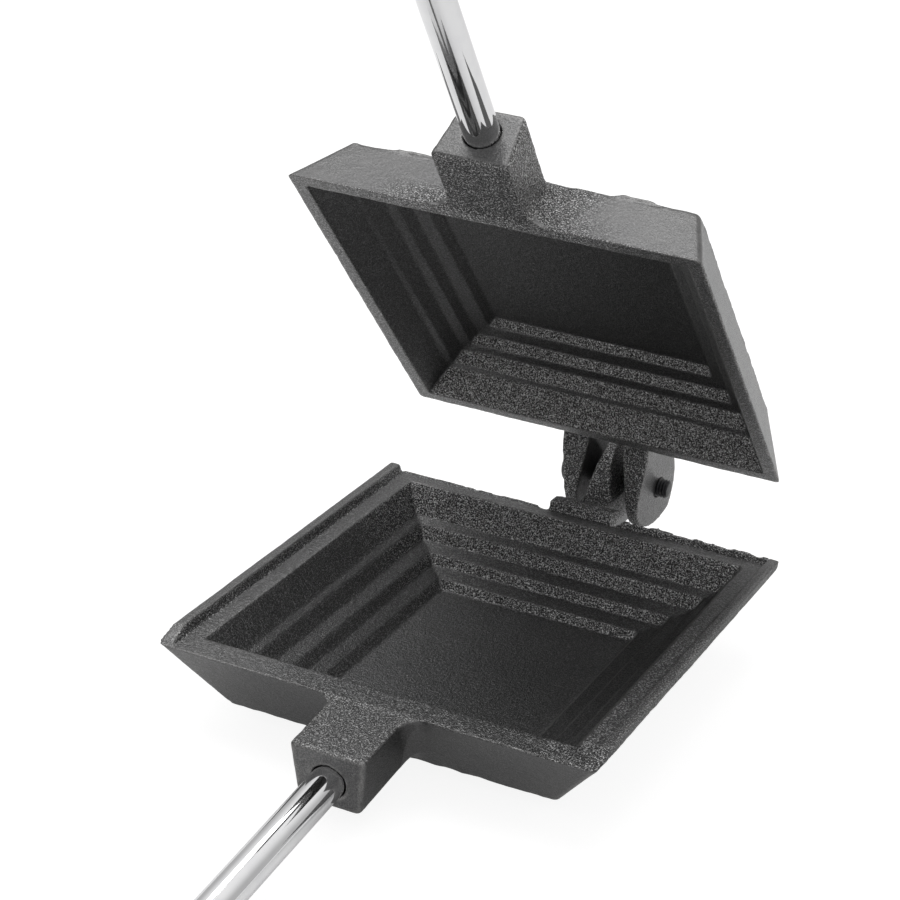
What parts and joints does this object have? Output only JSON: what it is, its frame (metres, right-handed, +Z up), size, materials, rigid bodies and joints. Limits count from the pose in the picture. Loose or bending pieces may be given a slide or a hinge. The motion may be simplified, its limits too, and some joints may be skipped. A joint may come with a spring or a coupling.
{
  "type": "pie iron",
  "caption": "Two hinged cast pans with stepped square cavities, each on a long steel rod with a turned wooden grip, and a swinging latch that holds the grips together.",
  "frame": {"origin": "centre of the flat foot under the lower pan, on the surface it stands on", "axes": "+Z up, +Y towards the hinge, the handles run towards -Y, +X to the side of the latch"},
  "size_m": [0.108, 0.6964, 0.5419],
  "materials": {
    "cast_iron": "satin",
    "black_steel": "satin",
    "chrome": "gloss",
    "zinc_steel": "satin",
    "wood": "satin"
  },
  "bodies": {
    "lower_half": {"lower_pan": "cast_iron", "lower_rod": "chrome", "lower_grip": "wood", "lower_ferrule": "chrome", "lower_washer": "zinc_steel", "lower_cap_nut": "zinc_steel", "catch_stud": "zinc_steel"},
    "upper_half": {"upper_pan": "cast_iron", "hinge_screw": "black_steel", "upper_rod": "chrome", "upper_grip": "wood", "upper_ferrule": "chrome", "upper_washer": "zinc_steel", "upper_cap_nut": "zinc_steel", "pivot_stud": "zinc_steel"},
    "latch": {"latch_hook": "zinc_steel"}
  },
  "joints": [
    {"name": "pan_hinge", "type": "hinge", "parent": "lower_half", "child": "upper_half", "pos_m": [0, 0.0787, 0.0221], "axis": [-1, 0, 0], "range_deg": [-48.7, 131.3]},
    {"name": "latch_pivot", "type": "hinge", "parent": "upper_half", "child": "latch", "pos_m": [0, -0.29732, 0.46352], "axis": [1, 0, 0], "range_deg": [-48.7, 150]}
  ]
}
